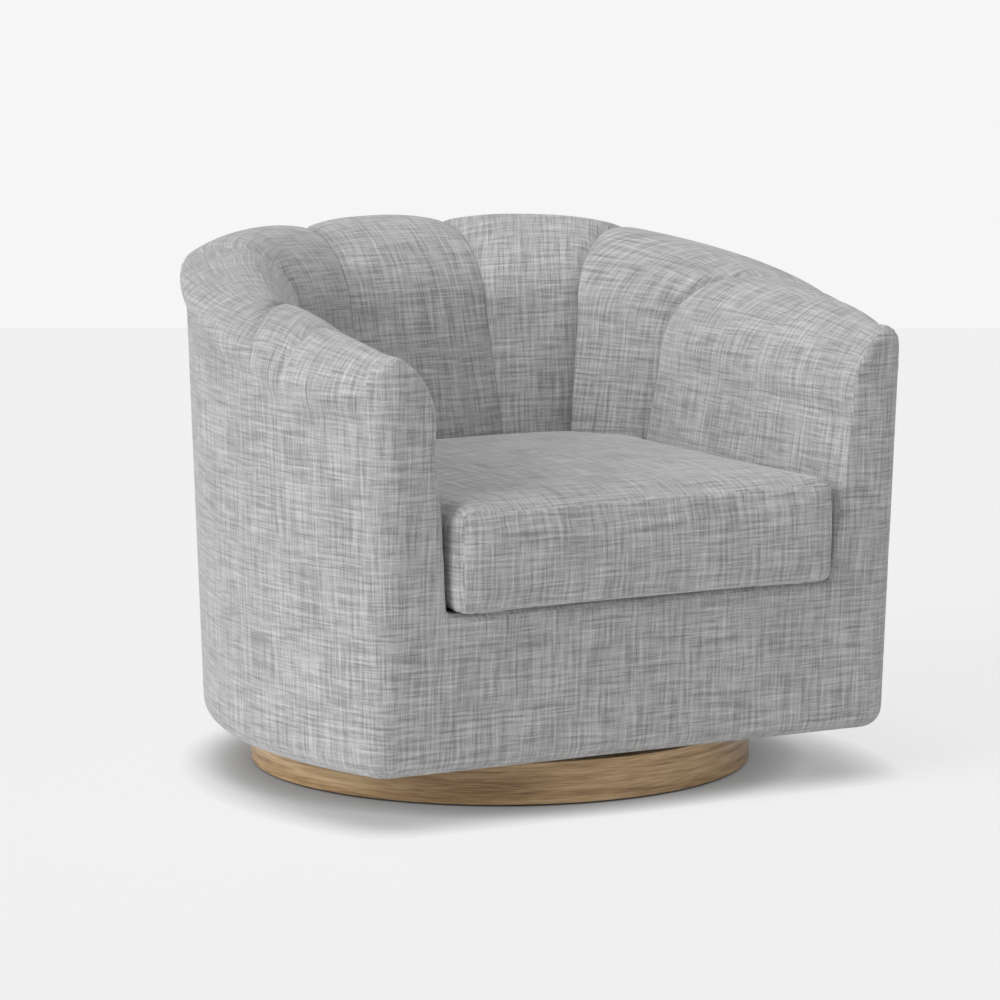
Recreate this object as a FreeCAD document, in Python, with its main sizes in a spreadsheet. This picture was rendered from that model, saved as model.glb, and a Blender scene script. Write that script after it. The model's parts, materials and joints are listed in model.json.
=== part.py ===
"""Swivel barrel chair: a channel-backed tub seat that turns on a low round plinth.

Frame: millimetres, +Z up, the sitter faces -Y, the origin is on the floor on the swivel axis.
"""
import FreeCAD, Part
import math
import os
import Sketcher

os.makedirs("parts", exist_ok=True)
V = FreeCAD.Vector
doc = FreeCAD.newDocument("swivel_barrel_chair")

# Driving dimensions, in millimetres unless the name says otherwise
SIZES = {
    # plinth
    "plinth_radius": 331, "veneer_thickness": 1, "ring_thickness": 15, "glide_height": 3,
    "plinth_top": 57,
    "board_thickness": 18, "plinth_board_top": 50, "glide_radius": 16, "glide_count": 8,
    "glide_circle": 284,
    "block_length": 56, "block_width": 44, "nail_radius": 1.5, "nail_length": 16, "nail_head_radius": 4,
    # swivel
    "plate_thickness": 3, "plate_radius": 165, "pivot_play": 0.05, "ball_circle": 125, "ball_radius": 5,
    "ball_count": 24, "ball_play": 0.1, "race_half_width": 10, "race_height": 4, "cage_thickness": 2.4,
    "cage_half_width": 8, "cage_play": 0.4, "pivot_radius": 8, "pivot_head_radius": 14, "base_bottom": 70,
    "washer_play": 0.3, "screw_circle": 148, "screw_count": 8, "screw_radius": 2.4, "screw_length": 14,
    "bolt_circle": 100, "bolt_radius": 4,
    # outside of the body
    "front_y": 397, "corner_radius": 51, "corner_x": 340, "side_radius": 618, "back_radius": 409,
    "waist_z": 600, "side_taper_permille": 34, "front_taper_permille": 55, "body_bottom": 65,
    "bottom_round": 28,
    "cover_thickness": 14, "backing_thickness": 3, "front_plane": 355, "front_rounding": 10,
    "seat_floor": 270.5,
    # seams between the channels: where they meet the seat, where they cross the crest, and the
    # roll outside it
    "seam1_seat_x": 102, "seam1_seat_y": 176, "seam1_crest_x": 104, "seam1_crest_y": 366,
    "seam1_top": 678,
    "seam1_lean": 50, "seam1_drop": 23, "seam1_proud": 1,
    "seam2_seat_x": 194, "seam2_seat_y": 158, "seam2_crest_x": 275, "seam2_crest_y": 201,
    "seam2_top": 677,
    "seam2_lean": 18, "seam2_drop": 19, "seam2_proud": 17,
    "seam3_seat_x": 258, "seam3_seat_y": 64, "seam3_crest_x": 344, "seam3_crest_y": -40, "seam3_top": 627,
    "seam3_lean": 20, "seam3_drop": 44, "seam3_proud": 3,
    "seam4_seat_x": 267, "seam4_seat_y": -180, "seam4_crest_x": 369, "seam4_crest_y": -211,
    "seam4_top": 616,
    "seam4_lean": 13, "seam4_drop": 64, "seam4_proud": 1,
    "arm_seat_x": 287, "arm_crest_x": 352, "arm_top": 597, "arm_lean": 12, "arm_drop": 53,
    "arm_proud": 2, "arm_toe": 11,
    "seat_line": 395, "flare_height": 115, "roll_hang": 26, "shoulder_permille": 435,
    "back_crown": 11, "corner_crown": 2, "arm_crown": 5, "front_crown": 2, "channel_bulge": 4,
    "arm_bulge": 4,
    "front_bulge": 3,
    # frame
    "rail_below_crest": 52, "rail_thickness": 20, "frame_gap": 0.6, "seat_rail_top": 250,
    "rail_width": 22,
    # cushion
    "cushion_half_width": 272, "cushion_front": 399, "cushion_gap": 1, "cushion_bottom": 271,
    "cushion_edge_top": 404, "cushion_crown": 13, "cushion_corner": 18,
}
sheet = doc.addObject("Spreadsheet::Sheet", "Sizes")
for row, (alias, value) in enumerate(SIZES.items(), start=1):
    sheet.set(f"A{row}", alias)
    sheet.set(f"B{row}", str(value))
    sheet.setAlias(f"B{row}", alias)
doc.recompute()


def size(alias):
    """A driving dimension, read back from the sheet."""
    return float(sheet.get(alias))


SUBPARTS = []


def subpart(obj, name):
    """Register an object as a separate piece that gets its own file."""
    obj.Label = name
    SUBPARTS.append(obj)
    return obj


def bind(obj, **expressions):
    """Bind properties of an object to cells of the sheet."""
    for prop, expression in expressions.items():
        obj.setExpression(prop.replace("__", "."), expression)
    return obj


def feature(name, shape):
    """A piece whose shape is computed here from the sheet's values."""
    obj = doc.addObject("Part::Feature", name + "_shape")
    obj.Shape = shape
    obj.Placement = FreeCAD.Placement()
    return subpart(obj, name)


def group(name, members):
    """Several loose solids of one kind, kept as one piece."""
    obj = doc.addObject("Part::Compound", name + "_group")
    obj.Links = members
    return subpart(obj, name)


def polar(count, circle, start=0.0):
    """Points spaced evenly on a circle, with their angles in degrees."""
    for i in range(count):
        angle = start + 360.0 * i / count
        yield angle, circle * math.cos(math.radians(angle)), circle * math.sin(math.radians(angle))


def disc_body(name, radii, bottom, height, whole=True):
    """A padded sketch of concentric circles: a disc, or a ring when two radii are given."""
    body = doc.addObject("PartDesign::Body", name + "_body")
    sketch = body.newObject("Sketcher::SketchObject", name + "_sketch")
    plane = [f for f in body.Origin.OriginFeatures if f.Role == "XY_Plane"][0]
    sketch.AttachmentSupport = [(plane, "")]
    sketch.MapMode = "FlatFace"
    sketch.setExpression("AttachmentOffset.Base.z", bottom)
    for i, radius in enumerate(radii):
        sketch.addGeometry(Part.Circle(V(0, 0, 0), V(0, 0, 1), 10.0 + i * 100), False)
        sketch.addConstraint(Sketcher.Constraint("Coincident", i, 3, -1, 1))
        k = sketch.addConstraint(Sketcher.Constraint("Radius", i, 10.0 + i * 100))
        sketch.renameConstraint(k, f"radius_{i}")
        sketch.setExpression(f"Constraints.radius_{i}", radius)
    pad = body.newObject("PartDesign::Pad", name + "_pad")
    pad.Profile = sketch
    pad.setExpression("Length", height)
    sketch.Visibility = False
    doc.recompute()
    return subpart(body, name) if whole else body


def cylinder(name, radius, height, x, y, z):
    """A bound cylinder standing at a point; radius, height and z are expressions."""
    obj = doc.addObject("Part::Cylinder", name)
    obj.Placement = FreeCAD.Placement(V(x, y, 0), FreeCAD.Rotation())
    return bind(obj, Radius=radius, Height=height, Placement__Base__z=z)


def cut(name, base, *tools):
    """Base minus tools, as bound booleans."""
    for i, tool in enumerate(tools):
        step = doc.addObject("Part::Cut", f"{name}_cut{i}")
        step.Base = base
        step.Tool = tool
        base = step
    return base


def fuse(name, *shapes):
    obj = doc.addObject("Part::MultiFuse", name + "_fuse")
    obj.Shapes = list(shapes)
    return obj


# Plinth: a bent ring with its veneer, closed by a top board on glue blocks
ring_height = "Sizes.plinth_top - Sizes.glide_height"
ring_outer = "Sizes.plinth_radius - Sizes.veneer_thickness"
ring_inner = ring_outer + " - Sizes.ring_thickness"
disc_body("plinth_veneer", [ring_outer, "Sizes.plinth_radius"], "Sizes.glide_height", ring_height)
disc_body("plinth_ring", [ring_inner, ring_outer], "Sizes.glide_height", ring_height)
board_disc = disc_body("plinth_board_disc", ["Sizes.pivot_radius", ring_inner],
                       "Sizes.plinth_board_top - Sizes.board_thickness", "Sizes.board_thickness", False)

blocks, glides, nails = [], [], []
board_bottom = "Sizes.plinth_board_top - Sizes.board_thickness"
for i, (angle, x, y) in enumerate(polar(int(size("glide_count")), size("glide_circle"), 22.5)):
    block = doc.addObject("Part::Box", f"glue_block_{i}")
    bind(block, Length="Sizes.block_width", Width="Sizes.block_length",
         Height=f"{board_bottom} - Sizes.glide_height")
    turn = FreeCAD.Rotation(V(0, 0, 1), angle)
    corner = turn.multVec(V(-size("block_width") / 2, -size("block_length") / 2, 0))
    block.Placement = FreeCAD.Placement(V(x, y, size("glide_height")) + corner, turn)
    hole = cylinder(f"nail_hole_{i}", "Sizes.nail_radius", "Sizes.nail_length", x, y, "1")
    blocks.append(cut(f"glue_block_{i}", block, hole))
    pad = cylinder(f"glide_pad_{i}", "Sizes.glide_radius", "Sizes.glide_height", x, y, "0")
    seat = cylinder(f"glide_seat_{i}", "Sizes.nail_head_radius", "1", x, y, "1")
    bore = cylinder(f"glide_bore_{i}", "Sizes.nail_radius", "Sizes.glide_height", x, y, "1")
    mouth = cylinder(f"glide_mouth_{i}", "Sizes.nail_head_radius", "1", x, y, "0")
    glides.append(cut(f"glide_{i}", pad, mouth, seat, bore))
    head = cylinder(f"nail_head_{i}", "Sizes.nail_head_radius", "1", x, y, "1")
    shank = cylinder(f"nail_shank_{i}", "Sizes.nail_radius", "Sizes.nail_length - 1", x, y, "2")
    nails.append(fuse(f"nail_{i}", head, shank))
group("plinth_glue_blocks", blocks)
group("floor_glides", glides)
group("glide_nails", nails)


# Swivel: two steel plates with ball races, a cage of balls between them, and a pivot bolt
def race_ring(name, bottom):
    """A flat ring with a round groove for the balls."""
    outer = cylinder(name + "_outer", "Sizes.ball_circle + Sizes.race_half_width", "Sizes.race_height",
                     0, 0, bottom)
    inner = cylinder(name + "_inner", "Sizes.ball_circle - Sizes.race_half_width", "Sizes.race_height",
                     0, 0, bottom)
    groove = doc.addObject("Part::Torus", name + "_groove")
    bind(groove, Radius1="Sizes.ball_circle", Radius2="Sizes.ball_radius + Sizes.ball_play",
         Placement__Base__z=ball_centre)
    return cut(name, outer, inner, groove)


def bolt_circle(name, count, circle, radius, height, z, start=0.0):
    return [cylinder(f"{name}_{i}", radius, height, x, y, z)
            for i, (_, x, y) in enumerate(polar(count, circle, start))]


lower_plate_top = "Sizes.plinth_board_top + Sizes.plate_thickness"
ball_centre = f"{lower_plate_top} + Sizes.race_height / 2 + Sizes.ball_radius"
upper_plate_bottom = "Sizes.base_bottom - Sizes.plate_thickness"
screws = int(size("screw_count"))
bolts = 4

screw_holes = bolt_circle("screw_hole", screws, size("screw_circle"), "Sizes.screw_radius",
                          "Sizes.plate_thickness", "Sizes.plinth_board_top")
pilot_holes = bolt_circle("pilot_hole", screws, size("screw_circle"), "Sizes.screw_radius",
                          "Sizes.screw_length",
                          f"{lower_plate_top} - Sizes.screw_length")
subpart(cut("top_board", board_disc, *pilot_holes), "plinth_top_board")
lower_disc = cylinder("lower_disc", "Sizes.plate_radius", "Sizes.plate_thickness", 0, 0,
                      "Sizes.plinth_board_top")
lower_bore = cylinder("lower_bore", "Sizes.pivot_radius", "Sizes.plate_thickness", 0, 0,
                      "Sizes.plinth_board_top")
lower_plate = fuse("lower_plate", cut("lower_plate", lower_disc, lower_bore, *screw_holes),
                   race_ring("lower_race", lower_plate_top))
subpart(lower_plate, "swivel_lower_plate")

bolt_holes = bolt_circle("bolt_hole", bolts, size("bolt_circle"), "Sizes.bolt_radius",
                         "Sizes.plate_thickness", upper_plate_bottom, 45)
upper_disc = cylinder("upper_disc", "Sizes.plate_radius", "Sizes.plate_thickness", 0, 0,
                      upper_plate_bottom)
upper_bore = cylinder("upper_bore", "Sizes.pivot_radius + Sizes.pivot_play", "Sizes.plate_thickness", 0,
                      0,
                      upper_plate_bottom)
upper_plate = fuse("upper_plate", cut("upper_plate", upper_disc, upper_bore, *bolt_holes),
                   race_ring("upper_race", f"{upper_plate_bottom} - Sizes.race_height"))
subpart(upper_plate, "swivel_upper_plate")

cage_bottom = f"{ball_centre} - Sizes.cage_thickness / 2"
cage_outer = cylinder("cage_outer", "Sizes.ball_circle + Sizes.cage_half_width", "Sizes.cage_thickness",
                      0, 0,
                      cage_bottom)
cage_inner = cylinder("cage_inner", "Sizes.ball_circle - Sizes.cage_half_width", "Sizes.cage_thickness",
                      0, 0,
                      cage_bottom)
pockets = bolt_circle("cage_pocket", int(size("ball_count")), size("ball_circle"),
                      "Sizes.ball_radius + Sizes.cage_play", "Sizes.cage_thickness", cage_bottom)
subpart(cut("cage", cage_outer, cage_inner, *pockets), "ball_cage")

balls = []
for i, (_, x, y) in enumerate(polar(int(size("ball_count")), size("ball_circle"))):
    ball = doc.addObject("Part::Sphere", f"ball_{i}")
    ball.Placement = FreeCAD.Placement(V(x, y, 0), FreeCAD.Rotation())
    balls.append(bind(ball, Radius="Sizes.ball_radius", Placement__Base__z=ball_centre))
group("bearing_balls", balls)

pivot_foot = "Sizes.plinth_board_top - Sizes.board_thickness"
pivot_head = cylinder("pivot_head", "Sizes.pivot_head_radius", "6", 0, 0, pivot_foot + " - 6")
pivot_shaft = cylinder("pivot_shaft", "Sizes.pivot_radius", "50", 0, 0, pivot_foot)
subpart(fuse("pivot", pivot_head, pivot_shaft), "pivot_bolt")
washer_bottom = "Sizes.base_bottom + Sizes.washer_play"
washer = cylinder("washer_disc", "Sizes.pivot_head_radius + 2", "2", 0, 0, washer_bottom)
washer_bore = cylinder("washer_bore", "Sizes.pivot_radius", "2", 0, 0, washer_bottom)
subpart(cut("washer", washer, washer_bore), "pivot_washer")
nut = doc.addObject("Part::Prism", "nut_prism")
bind(nut, Circumradius="Sizes.pivot_head_radius", Height="8", Placement__Base__z=washer_bottom + " + 2")
nut_bore = cylinder("nut_bore", "Sizes.pivot_radius", "8", 0, 0, washer_bottom + " + 2")
subpart(cut("nut", nut, nut_bore), "pivot_nut")

plate_screws = []
for i, (_, x, y) in enumerate(polar(screws, size("screw_circle"))):
    head = cylinder(f"screw_head_{i}", "Sizes.screw_radius * 2", "2", x, y, lower_plate_top)
    shank = cylinder(f"screw_shank_{i}", "Sizes.screw_radius", "Sizes.screw_length", x, y,
                     f"{lower_plate_top} - Sizes.screw_length")
    plate_screws.append(fuse(f"plate_screw_{i}", head, shank))
group("lower_plate_screws", plate_screws)

bolt_head, bolt_reach = 4.0, 25.0
plate_bolts, tee_nuts = [], []
for i, (_, x, y) in enumerate(polar(bolts, size("bolt_circle"), 45)):
    head = cylinder(f"bolt_head_{i}", "Sizes.bolt_radius * 1.7", str(bolt_head), x, y,
                    f"{upper_plate_bottom} - {bolt_head}")
    shank = cylinder(f"bolt_shank_{i}", "Sizes.bolt_radius", str(bolt_reach), x, y, upper_plate_bottom)
    plate_bolts.append(fuse(f"plate_bolt_{i}", head, shank))
    flange = cylinder(f"tee_flange_{i}", "Sizes.bolt_radius * 2.6", "1.6", x, y, "Sizes.base_bottom + 18")
    barrel = cylinder(f"tee_barrel_{i}", "Sizes.bolt_radius + 1.4", "10", x, y, "Sizes.base_bottom + 8")
    bore = cylinder(f"tee_bore_{i}", "Sizes.bolt_radius", "12", x, y, "Sizes.base_bottom + 8")
    tee_nuts.append(cut(f"tee_nut_{i}", fuse(f"tee_nut_{i}", flange, barrel), bore))
group("upper_plate_bolts", plate_bolts)
group("tee_nuts", tee_nuts)
doc.recompute()

# Outline of the body in plan: a front line, then on each side a corner arc, a side arc and the back arc
FRONT, WAIST = size("front_y"), size("waist_z")
CORNER, SIDE, BACK = size("corner_radius"), size("side_radius"), size("back_radius")
SIDE_LEAN, FRONT_LEAN = size("side_taper_permille") / 1000, size("front_taper_permille") / 1000


def side_centre():
    """Centre of the side arc, tangent inside to the corner arc and to the back arc about the origin."""
    cx, cy = size("corner_x"), CORNER - FRONT
    a, b = SIDE - CORNER, SIDE - BACK
    gap = math.hypot(cx, cy)
    along = (a * a - b * b + gap * gap) / (2 * gap)
    across = math.sqrt(a * a - along * along)
    ux, uy = -cx / gap, -cy / gap
    return cx + ux * along - uy * across, cy + uy * along + ux * across


SX, SY = side_centre()


def outline_arcs(z, inset):
    """Front line, corner centre and radius, and the inset of sides and back, at height z."""
    side_in = SIDE_LEAN * (WAIST - z) + inset
    front = -FRONT + FRONT_LEAN * (WAIST - z) + inset
    radius = max(CORNER - side_in, 5.0)
    cy = front + radius
    cx = SX + math.sqrt((SIDE - side_in - radius) ** 2 - (cy - SY) ** 2)
    return front, cx, cy, radius, side_in


def outline_wire(z, inset):
    front, cx, cy, radius, side_in = outline_arcs(z, inset)
    start = math.atan2(cy - SY, cx - SX)
    end = math.atan2(-SY, -SX)

    def arc(x0, y0, r, a, b, mirror):
        points = [V(x0 + r * math.cos(t), y0 + r * math.sin(t), z) for t in (a, (a + b) / 2, b)]
        if mirror:
            points = [V(-p.x, p.y, p.z) for p in reversed(points)]
        return Part.Arc(*points).toShape()

    back = Part.Arc(*[V((BACK - side_in) * math.cos(t), (BACK - side_in) * math.sin(t), z)
                      for t in (end, math.pi / 2, math.pi - end)]).toShape()
    return Part.Wire([
        Part.makeLine(V(-cx, front, z), V(cx, front, z)),
        arc(cx, cy, radius, -math.pi / 2, start, False),
        arc(SX, SY, SIDE - side_in, start, end, False),
        back,
        arc(SX, SY, SIDE - side_in, start, end, True),
        arc(cx, cy, radius, -math.pi / 2, start, True),
    ])


def overshoot(x, y, z):
    """How far a point lies outside the outline at height z; negative inside."""
    front, cx, cy, radius, side_in = outline_arcs(z, 0.0)
    x = abs(x)
    corner_angle = math.atan2(y - cy, x - cx)
    start, end = math.atan2(cy - SY, cx - SX), math.atan2(-SY, -SX)
    if -math.pi / 2 <= corner_angle <= start:
        return math.hypot(x - cx, y - cy) - radius
    if start <= math.atan2(y - SY, x - SX) <= end:
        return math.hypot(x - SX, y - SY) - (SIDE - side_in)
    if math.atan2(y, x) >= end:
        return math.hypot(x, y) - (BACK - side_in)
    return front - y


def envelope(inset, bottom, top, rounding):
    """The body's outside, drawn in by an inset, with its bottom edge rounded."""
    solid = Part.makeLoft([outline_wire(bottom, inset), outline_wire(top, inset)], True, True)
    low = [e for e in solid.Edges if e.BoundBox.ZMax < bottom + 0.01]
    return solid.makeFillet(rounding, low)


def largest(shape):
    return max(shape.Solids, key=lambda solid: solid.Volume)


def slab(z0, z1, y0=-700.0, y1=700.0, x0=-700.0, x1=700.0):
    return Part.makeBox(x1 - x0, y1 - y0, z1 - z0, V(x0, y0, z0))


# Stations round the seat: the four seams of each side and the arm front, right side first
class Station:
    """A vertical section from a point on the seat's edge out to the body's outline."""

    def __init__(self, seat, crest, top, lean, drop, proud, mirror=False, toe=0.0):
        self.seat, self.top, self.lean, self.drop, self.proud, self.toe = seat, top, lean, drop, proud, toe
        dx, dy = crest[0] - seat[0], crest[1] - seat[1]
        self.crest = math.hypot(dx, dy)
        self.way = (dx / self.crest, dy / self.crest)
        self.reach = self.span = self.to_outline()
        self.skin = (0.0, 0.0)
        if mirror:
            self.seat = (-seat[0], seat[1])
            self.way = (-self.way[0], self.way[1])

    def to_outline(self):
        low, high = 0.0, 600.0
        for _ in range(60):
            mid = (low + high) / 2
            x, y = self.seat[0] + self.way[0] * mid, self.seat[1] + self.way[1] * mid
            if overshoot(x, y, WAIST) > 0:
                high = mid
            else:
                low = mid
        return low

    def at(self, s, z):
        return V(self.seat[0] + self.way[0] * s, self.seat[1] + self.way[1] * s, z)

    def frame(self, w, z):
        """A point at a share w of the way from the seat to the outline's chord."""
        return self.at(w * self.span, z)


def between(a, b, crown, bulge):
    """The middle of a channel: its section swells past the line between its seams."""
    m = Station.__new__(Station)
    m.seat = ((a.seat[0] + b.seat[0]) / 2, (a.seat[1] + b.seat[1]) / 2)
    out_a, out_b = a.frame(1, 0), b.frame(1, 0)
    dx, dy = (out_a.x + out_b.x) / 2 - m.seat[0], (out_a.y + out_b.y) / 2 - m.seat[1]
    m.span = math.hypot(dx, dy)
    m.way = (dx / m.span, dy / m.span)
    m.reach = m.to_outline()
    m.crest = m.reach - ((a.reach - a.crest) + (b.reach - b.crest)) / 2
    m.top, m.lean, m.toe = (a.top + b.top) / 2, (a.lean + b.lean) / 2, (a.toe + b.toe) / 2
    m.drop, m.proud = (a.drop + b.drop) / 2, (a.proud + b.proud) / 2 + 2.0
    m.skin = (crown, bulge)
    return m


def seam(n, mirror=False):
    return Station((size(f"seam{n}_seat_x"), size(f"seam{n}_seat_y")),
                   (size(f"seam{n}_crest_x"), size(f"seam{n}_crest_y")),
                   *[size(f"seam{n}_{key}") for key in ("top", "lean", "drop", "proud")], mirror)


def arm_front(mirror=False):
    y = -size("front_plane") + 0.3
    return Station((size("arm_seat_x"), y), (size("arm_crest_x"), y),
                   *[size(f"arm_{key}") for key in ("top", "lean", "drop", "proud")], mirror,
                   size("arm_toe"))


right = [arm_front()] + [seam(n) for n in (4, 3, 2, 1)]
left = [arm_front(True)] + [seam(n, True) for n in (4, 3, 2, 1)]
stations = left + right[::-1]
SHOULDER = size("shoulder_permille") / 1000
BULGE = size("channel_bulge")
swells = [(size("front_crown"), size("front_bulge")), (size("arm_crown"), size("arm_bulge")),
          (size("corner_crown"), BULGE), (size("back_crown"), BULGE)]
swells = swells + [(size("back_crown"), BULGE)] + swells[::-1]

# Shares of the way out at which the frame stands, the same at every station
INNER, RAIL_IN, RAIL_OUT = 0.24, 0.52, 0.80
FLOOR, SEAT_LINE = size("seat_rail_top") + 6.0, size("seat_line")


def hang(st):
    return st.top - st.drop - size("roll_hang")


def rail_top(st):
    return st.top - size("rail_below_crest")


def arc3(a, b, c):
    return Part.Arc(a, b, c).toShape()


def channel_section(st):
    """Closed section of the padding: inner face, flare, crest, roll, then back along the frame."""
    crown, bulge = st.skin
    crest_z, flare_z = st.top + crown, st.top - size("flare_height")
    edge_z, foot = crest_z - st.drop, st.lean - bulge
    outer = st.reach + st.proud
    eye = math.sqrt(0.5)
    a, seat_line, b = st.at(-bulge - st.toe, FLOOR), st.at(-bulge, SEAT_LINE), st.at(foot, flare_z)
    via_flare = st.at(foot + (1 - eye) * (st.crest - foot), flare_z + eye * (crest_z - flare_z))
    c = st.at(st.crest, crest_z)
    via_top = st.at(st.crest + eye * (outer - st.crest), crest_z - SHOULDER * st.drop)
    d = st.at(outer, edge_z)
    e = st.at(st.reach - 0.4, hang(st))
    via_under = st.at(outer - (outer - st.reach + 0.4) * 0.3, (edge_z + hang(st)) / 2 - 4)
    frame = [st.frame(RAIL_OUT, hang(st)), st.frame(RAIL_OUT, rail_top(st)),
             st.frame(RAIL_IN, rail_top(st)),
             st.frame(INNER, FLOOR)]
    edges = [Part.makeLine(a, seat_line), Part.makeLine(seat_line, b), arc3(b, via_flare, c),
             arc3(c, via_top, d), arc3(d, via_under, e)]
    corners = [e] + frame + [a]
    edges += [Part.makeLine(p, q) for p, q in zip(corners, corners[1:])]
    return Part.Wire(edges)


channels = []
for i, (st_a, st_b) in enumerate(zip(stations, stations[1:])):
    crown, bulge = swells[i]
    middle = between(st_a, st_b, crown, bulge)
    sections = [channel_section(st) for st in (st_a, middle, st_b)]
    channels.append(Part.makeLoft(sections, True, False))
for i, shape in enumerate(channels, start=1):
    feature(f"channel_{i}", shape)


def ruled(sections_of, chosen):
    """A piece that runs straight from station to station, its corners given by shares and heights."""
    wires = [Part.makePolygon([st.frame(w, z) for w,
                               z in sections_of(st)] + [st.frame(*sections_of(st)[0])])
             for st in chosen]
    return Part.makeLoft(wires, True, True)


# Outside cover: padded fabric over the back and arms, open in front, turned under at the foot
BOTTOM, ROUND, THICK = size("body_bottom"), size("bottom_round"), size("cover_thickness")
BASE = size("base_bottom")
FRONT_PLANE = -size("front_plane")
envelope_top = 640.0
outer_envelope = envelope(0.0, BOTTOM, envelope_top, ROUND)
inner_envelope = envelope(THICK, BASE, envelope_top + 1, ROUND - 10)
roof = ruled(lambda st: [(0.70, hang(st) - 0.6), (1.5, hang(st) - 0.6), (1.5, 800), (0.70, 800)],
             stations)
wall = outer_envelope.cut(inner_envelope)
corner_channels = Part.makeCompound([channels[2], channels[6]])
flap_opening = Part.makeCylinder(300, 20, V(0, 0, BOTTOM - 5))
above_front = slab(hang(stations[0]) - 0.6, 800, FRONT_PLANE, FRONT_PLANE + 40)
cover = wall.common(slab(0, 800, FRONT_PLANE)).cut(roof).cut(above_front).cut(flap_opening)
feature("outside_cover", largest(cover.cut(corner_channels)))

backing_outer = envelope(THICK + 0.2, BASE + 0.2, envelope_top + 1, ROUND - 11)
backing_inner = envelope(THICK + 0.2 + size("backing_thickness"), BASE + 0.2, envelope_top + 2,
                         ROUND - 14)
lower_roof = ruled(lambda st: [(0.70, hang(st) - 1.2), (1.5, hang(st) - 1.2), (1.5, 800), (0.70, 800)],
                   stations)
backing = backing_outer.cut(backing_inner).common(slab(BASE + 18.4, 800, FRONT_PLANE + 24))
feature("outer_backing_board", largest(backing.cut(lower_roof).cut(corner_channels)))


# Front border: the arm fronts and the front rail in one cover
def arm_profile(st, y):
    """Outline of an arm's front, a little wider than the arm on its outer side."""
    sign = 1 if st.seat[0] > 0 else -1

    def at(x, z):
        return V(sign * x, y, z)

    x0, far = size("arm_seat_x"), size("arm_seat_x") + st.reach + 60
    eye = math.sqrt(0.5)
    flare_z, edge_z = st.top - size("flare_height"), st.top - st.drop
    foot, crest = x0 + st.lean, x0 + st.crest
    outer = x0 + st.reach
    wall_x = outer - 1.0
    return Part.Wire([
        Part.makeLine(at(x0 - st.toe, BOTTOM - 5), at(x0 - st.toe, FLOOR)),
        Part.makeLine(at(x0 - st.toe, FLOOR), at(x0, SEAT_LINE)),
        Part.makeLine(at(x0, SEAT_LINE), at(foot, flare_z)),
        arc3(at(foot, flare_z), at(foot + (1 - eye) * (crest - foot), flare_z + eye * (st.top - flare_z)),
             at(crest, st.top)),
        arc3(at(crest, st.top), at(crest + eye * (wall_x - crest), st.top - SHOULDER * st.drop),
             at(wall_x, edge_z)),
        Part.makeLine(at(wall_x, edge_z), at(far, edge_z - 6)),
        Part.makeLine(at(far, edge_z - 6), at(far, BOTTOM - 5)),
        Part.makeLine(at(far, BOTTOM - 5), at(x0 - st.toe, BOTTOM - 5)),
    ])


front_block = outer_envelope.common(slab(0, 800, -700, FRONT_PLANE - 0.2))
depth = 120.0
arms = [Part.Face(arm_profile(st, FRONT_PLANE - 0.2)).extrude(V(0, -depth, 0)) for st in (left[0],
                                                                                          right[0])]
rail_pad = slab(0, size("seat_floor"), -700, FRONT_PLANE - 0.2, -size("arm_seat_x") - 1,
                size("arm_seat_x") + 1)
border = largest(front_block.common(arms[0].fuse(arms[1]).fuse(rail_pad)).cut(flap_opening))


def front_edges(shape):
    """Edges of the front face above the rounded foot that aren't on the outline's own arcs."""
    chosen = []
    for e in shape.Edges:
        box = e.BoundBox
        leaning = box.YMin > -FRONT - 1 and box.YMax < FRONT_PLANE - 12
        if leaning and box.ZMax > size("seat_floor") - 2 and box.ZMin > 150:
            chosen.append(e)
    return chosen


feature("front_border", border.makeFillet(size("front_rounding"), front_edges(border)))

# Base board, dust cover and the seat frame that stands on the board
board = envelope(THICK + 0.4, BASE, envelope_top,
                 ROUND - 10).common(slab(BASE, BASE + size("board_thickness")))
board = board.common(slab(0, 800, FRONT_PLANE))
holes = [Part.makeCylinder(size("pivot_head_radius") * 1.7, 60, V(0, 0, BASE - 20))]
for _, x, y in polar(bolts, size("bolt_circle"), 45):
    holes.append(Part.makeCylinder(size("bolt_radius"), 60, V(x, y, BASE - 20)))
    holes.append(Part.makeCylinder(size("bolt_radius") + 1.4, 40, V(x, y, BASE + 8)))
for hole in holes:
    board = board.cut(hole)
feature("base_board", board)
disc_body("dust_cover", ["Sizes.plate_radius + 5", "Sizes.plate_radius + 134"], "Sizes.base_bottom - 1",
          "1")

DECK = BASE + size("board_thickness")
RAIL_TOP, WIDE = size("seat_rail_top"), size("rail_width")
corners = [(-278.0, -347.0), (278.0, -347.0), (278.0, 44.0), (130.0, 200.0), (-130.0, 200.0),
           (-278.0, 44.0)]


def mitred(points, distance):
    """A polygon moved inward by a distance from all its sides."""
    moved = []
    for i, (cx, cy) in enumerate(points):
        (px, py), (nx, ny) = points[i - 1], points[(i + 1) % len(points)]
        a, b = math.hypot(cx - px, cy - py), math.hypot(nx - cx, ny - cy)
        n1 = (-(cy - py) / a, (cx - px) / a)
        n2 = (-(ny - cy) / b, (nx - cx) / b)
        k = distance / (1 + n1[0] * n2[0] + n1[1] * n2[1])
        moved.append((cx + (n1[0] + n2[0]) * k, cy + (n1[1] + n2[1]) * k))
    return moved


def prism(points, z0, z1):
    wire = Part.makePolygon([V(x, y, z0) for x, y in points] + [V(*points[0], z0)])
    return Part.Face(wire).extrude(V(0, 0, z1 - z0))


inner_corners = mitred(corners, WIDE)
rail_names = ["front_rail", "side_rail_right", "rear_rail_right", "back_rail", "rear_rail_left",
              "side_rail_left"]
for i, name in enumerate(rail_names):
    j = (i + 1) % len(corners)
    quad = [corners[i], corners[j], inner_corners[j], inner_corners[i]]
    feature(name, prism(quad, DECK, RAIL_TOP))

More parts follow.
